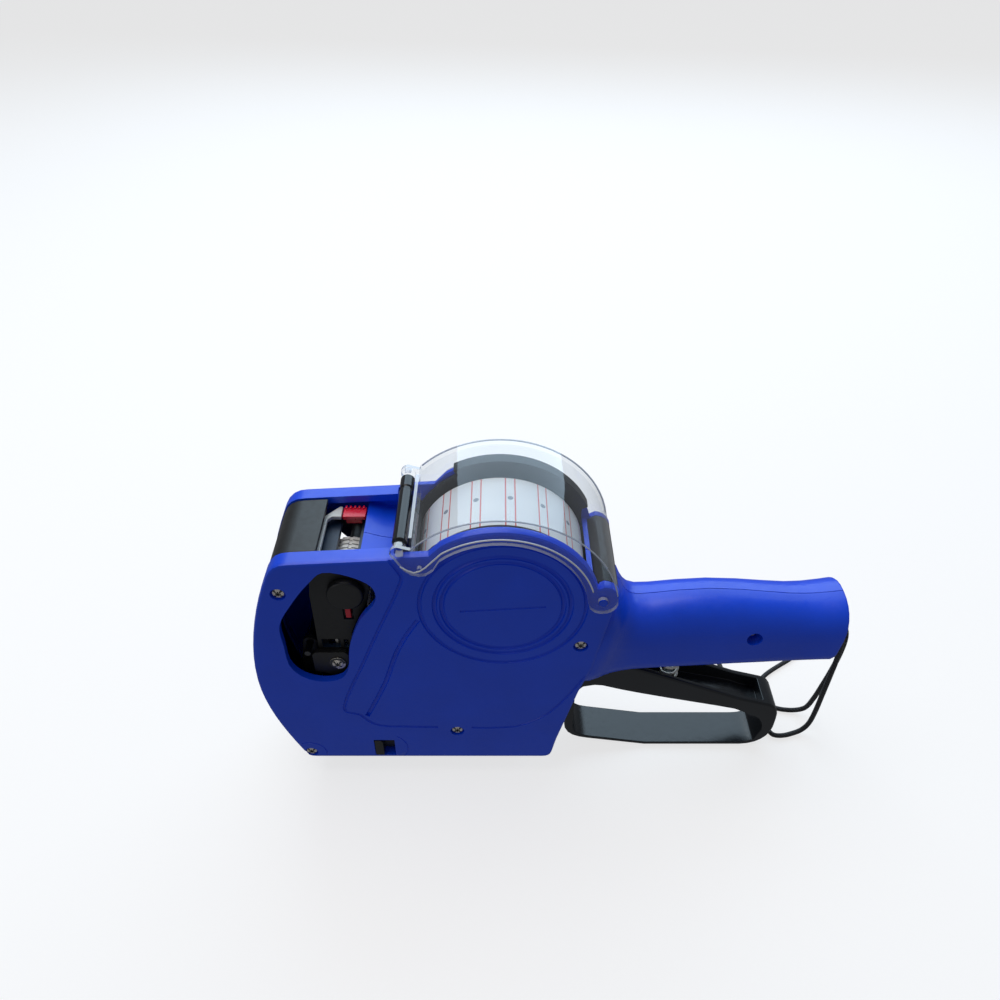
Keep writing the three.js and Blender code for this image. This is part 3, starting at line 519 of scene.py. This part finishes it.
# ---------- pieces that keep their CAD shape: material, and rounding of the edges in millimetres ----------
CARRIED = {
    "front_cover": (BLACK, 0.3), "base_cover": (BLACK, 0.3), "base_hinge_pin": (STEEL, 0.15),
    "applicator_roller": (RUBBER, 0.3), "applicator_axle": (STEEL, 0.15), "latch": (BLACK, 0.25),
    "cover_rod": (GLOSS, 0.2), "roll_tray": (BLACK, 0.25),
    "roll_core": (CARD, 0.15), "head_frame": (NAVY, 0.25), "head_cap": (BLACK, 0.3),
    "head_bracket": (BLACK, 0.4), "head_flag": (RED, 0.2),
    "head_axle": (STEEL, 0.15), "window_plate": (GREY, 0.3), "pointer": (RED, 0.25),
    "selector_knob": (BLACK, 0.3), "ink_holder": (BLACK, 0.25), "ink_roller": (INKED, 0.4),
    "ink_axle": (DARK_STEEL_AND_RECESS_SHADE, 0.1), "ink_pivot_pin": (DARK_STEEL_AND_RECESS_SHADE, 0.1), "feed_wheel": (BLACK, 0.2),
    "feed_axle": (STEEL, 0.1), "trigger": (TRIGGER, 0.35), "trigger_pin": (STEEL, 0.1),
}
CARRIED.update({f"digit_wheel_{k}": (WHITE, 0.1) for k in range(1, BANDS + 1)})
for name, (mat, width) in CARRIED.items():
    finish_in(refined(name, width), mat)


# the print head's side plates are black, the rest of its frame is navy
head_sides = bpy.data.objects["head_frame_fine"]
head_sides.data.materials.append(BLACK)
for face in head_sides.data.polygons:
    if abs(face.normal.y) > 0.7:
        face.material_index = 1


# ---------- clear cover: the cut edges of the plastic catch the light, painted as highlights in a pale hazy plastic ---
FLANGE_FACE = 22.7
COVER_RIM = (41.3, 22.5)      # radius and distance from the parting plane of the outer edge
BEAD_RADIUS = 33.4


def add_cover():
    cover = finish_in(refined("clear_cover", 0.3), CLEAR)
    cover.data.materials.append(CLEAR_EDGE_HIGHLIGHT)
    # Every bevelled edge of the cover takes the pale edge material, and so do the flange's cut faces and
    # the lip: painted highlights.
    cover.modifiers["edges"].material = 1
    for face in cover.data.polygons:
        on_flange = abs(face.center.y) > 21.2 * MM and abs(face.normal.y) < 0.5
        on_lip = abs(face.normal.z) > 0.8 and face.center.x < -28 * MM
        if on_flange or on_lip:
            face.material_index = 1
    for side in (-1, 1):
        y = side * FLANGE_FACE
        path = [place(-33.4, y, 112), place(-29, y, 109.2), place(-25, y, 111.6)]
        for k in range(37):
            a = math.radians(126 - 110 * k / 36)
            path.append(place(ROLL[0] + BEAD_RADIUS * math.cos(a), y, ROLL[1] + BEAD_RADIUS * math.sin(a)))
        # The tube stands for the flange's raised bead; its almost fully hazy pale plastic is a painted
        # highlight along it.
        bead = shade(tube(f"cover_bead_{side}", smooth_path(path, 2), 0.3 * MM, 8))
        finish_in(bead, CLEAR_BEAD_HIGHLIGHT)
        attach(bead, frame["nodes"]["clear_cover"]["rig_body"])
        # Thin tubes laid on the cover's outer rim, in the pale edge material: painted highlight lines along
        # the rim.
        rim = []
        for k in range(41):
            a = math.radians(134 - 124 * k / 40)
            x = ROLL[0] + COVER_RIM[0] * math.cos(a)
            z = ROLL[1] + COVER_RIM[0] * math.sin(a)
            rim.append(place(x, side * COVER_RIM[1], z))
        edge = shade(tube(f"cover_rim_highlight_{side}", rim, 0.28 * MM, 8))
        finish_in(edge, CLEAR_EDGE_HIGHLIGHT)
        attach(edge, frame["nodes"]["clear_cover"]["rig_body"])


add_cover()


# ---------- screws: the walls of the cross recess are darker, painted shade in the recess ---
def add_screw(name):
    screw = finish_in(refined(name, 0.08), STEEL)
    screw.data.materials.append(DARK_STEEL_AND_RECESS_SHADE)
    corners = [v.co for v in screw.data.vertices]
    x = (min(p.x for p in corners) + max(p.x for p in corners)) / 2
    z = (min(p.z for p in corners) + max(p.z for p in corners)) / 2
    top = min(p.y for p in corners)
    # Faces inside the cross recess take the darker steel: painted shade.
    for face in screw.data.polygons:
        reach = math.dist((face.center.x, face.center.z), (x, z))
        if reach < 1.1 * MM and 0.2 * MM < face.center.y - top < 1.2 * MM:
            face.material_index = 1


for place_name in ("front_top", "front_bottom", "base", "rear", "handle"):
    add_screw(f"screw_{place_name}")
add_screw("head_screw")


# ---------- label roll ----------
def add_label_roll():
    near = ROLL_Y - ROLL_W / 2
    far = ROLL_Y + ROLL_W / 2
    profile = [
        (13.5, near), (ROLL_R - 0.15, near), (ROLL_R, near + 0.15), (ROLL_R, far - 0.15),
        (ROLL_R - 0.15, far), (13.5, far),
    ]
    roll = shade(turned("label_roll_paper", profile, ROLL, 128))
    finish_in(roll, PAPER)
    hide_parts("label_roll")
    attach(roll, "roll")


add_label_roll()


# ---------- digit bands: belts with a raised block for each digit ----------
def band_loop(big, small):
    """A tapered loop round the selector wheel and the anvil."""
    loop = []
    for k in range(25):
        a = math.radians(-5 + 186 * k / 24)
        loop.append((SELECTOR[0] + big * math.cos(a), SELECTOR[1] + big * math.sin(a)))
    for k in range(13):
        a = math.radians(181 + 174 * k / 12)
        loop.append((ANVIL[0] + small * math.cos(a), ANVIL[1] + small * math.sin(a)))
    return loop


def add_band(number):
    y = BAND_Y0 + (number - 1) * BAND_PITCH
    bm = bmesh.new()
    outer = band_loop(8.1, 2.4)
    inner = band_loop(7.4, 1.7)
    rows = []
    for points, across in ((outer, -0.9), (outer, 0.9), (inner, 0.9), (inner, -0.9)):
        rows.append([bm.verts.new(place(x, y + across, z)) for x, z in points])
    for low, high in zip(rows, rows[1:] + rows[:1]):
        for k in range(len(low)):
            j = (k + 1) % len(low)
            bm.faces.new((low[k], low[j], high[j], high[k]))
    lengths = [math.dist(outer[k], outer[(k + 1) % len(outer)]) for k in range(len(outer))]
    total = sum(lengths)
    blocks = 54
    for block in range(blocks):
        target = total * block / blocks
        k = 0
        while target > lengths[k]:
            target -= lengths[k]
            k += 1
        ax, az = outer[k]
        bx, bz = outer[(k + 1) % len(outer)]
        t = target / lengths[k]
        ux, uz = (bx - ax) / lengths[k], (bz - az) / lengths[k]
        centre = Vector((ax + (bx - ax) * t, az + (bz - az) * t))
        matrix = Matrix((
            (ux * 2.7 * MM, 0, uz * 0.5 * MM, (centre.x + uz * 0.22) * MM),
            (0, 1.5 * MM, 0, y * MM),
            (uz * 2.7 * MM, 0, -ux * 0.5 * MM, (centre.y - ux * 0.22 + FOOT) * MM),
            (0, 0, 0, 1),
        ))
        bmesh.ops.create_cube(bm, size=1.0, matrix=matrix)
    bmesh.ops.recalc_face_normals(bm, faces=bm.faces)
    band = shade(from_bmesh(f"digit_band_{number}_blocks", bm), 0.12, 1)
    finish_in(band, WHITE)
    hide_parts(f"digit_band_{number}")
    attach(band, "head")


for number in range(1, BANDS + 1):
    add_band(number)


# ---------- trigger spring ----------
def add_spring():
    path = []
    steps = SPRING["turns"] * 24
    for k in range(steps + 1):
        a = 2 * math.pi * k / 24
        rise = SPRING["z0"] + 1.4 + (SPRING["z1"] - SPRING["z0"] - 2.4) * k / steps
        path.append(place(SPRING["x"] + SPRING["r"] * math.cos(a), SPRING["r"] * math.sin(a), rise))
    spring = shade(tube("trigger_spring_coil", path, SPRING["wire"] * MM, 10))
    finish_in(spring, STEEL)
    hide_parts("trigger_spring")
    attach(spring, "body")
    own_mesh(spring)


add_spring()


# ---------- floor and light ----------
def add_floor():
    """A pale table top. It glows a little, and neither lights the gun nor shows in its reflections."""
    mat, nodes, links, shader = material("floor", (0.3, 0.3, 0.31), 0.7)
    shader.inputs["Specular IOR Level"].default_value = 0.0
    shader.inputs["Emission Color"].default_value = (1.0, 1.0, 1.0, 1)
    shader.inputs["Emission Strength"].default_value = 0.72
    bpy.ops.mesh.primitive_plane_add(size=8, location=(0, 0, -0.0002))
    floor = bpy.context.object
    floor.name = "floor"
    floor.data.materials.append(mat)
    floor.visible_diffuse = False
    floor.visible_glossy = False


def add_light(name, where, target, size, radiance, color=(1, 1, 1)):
    """A soft box with the given brightness."""
    data = bpy.data.lights.new(name, "AREA")
    data.shape = "RECTANGLE"
    data.size = size[0]
    data.size_y = size[1]
    data.energy = radiance * math.pi * size[0] * size[1]
    data.color = color
    light = bpy.data.objects.new(name, data)
    light.location = where
    aim = Vector(target) - Vector(where)
    light.rotation_euler = aim.to_track_quat("-Z", "Y").to_euler()
    bpy.context.scene.collection.objects.link(light)


def add_world():
    world = bpy.data.worlds.new("studio")
    world.use_nodes = True
    nodes = world.node_tree.nodes
    links = world.node_tree.links
    shader = nodes["Background"]
    shader.inputs["Color"].default_value = (0.9, 0.94, 1.0, 1)
    shader.inputs["Strength"].default_value = 0.2
    seen = nodes.new("ShaderNodeBackground")
    seen.inputs["Color"].default_value = (0.93, 0.95, 0.97, 1)
    seen.inputs["Strength"].default_value = 0.85
    path = nodes.new("ShaderNodeLightPath")
    mix = nodes.new("ShaderNodeMixShader")
    links.new(path.outputs["Is Camera Ray"], mix.inputs["Fac"])
    links.new(shader.outputs["Background"], mix.inputs[1])
    links.new(seen.outputs["Background"], mix.inputs[2])
    links.new(mix.outputs["Shader"], nodes["World Output"].inputs["Surface"])
    bpy.context.scene.world = world


add_floor()
add_world()
add_light("window", (0.1, 0.8, 0.72), (0, 0, 0.06), (1.3, 0.9), 2.3, (0.62, 0.83, 1.0))
add_light("top", (-0.25, 0.15, 1.0), (0, 0, 0.05), (0.8, 0.7), 2.4, (1.0, 0.98, 0.95))
add_light("fill", (-0.9, -0.9, 0.5), (0, 0, 0.06), (0.6, 0.6), 0.8, (1.0, 0.97, 0.93))
bpy.context.scene.view_settings.view_transform = "Standard"
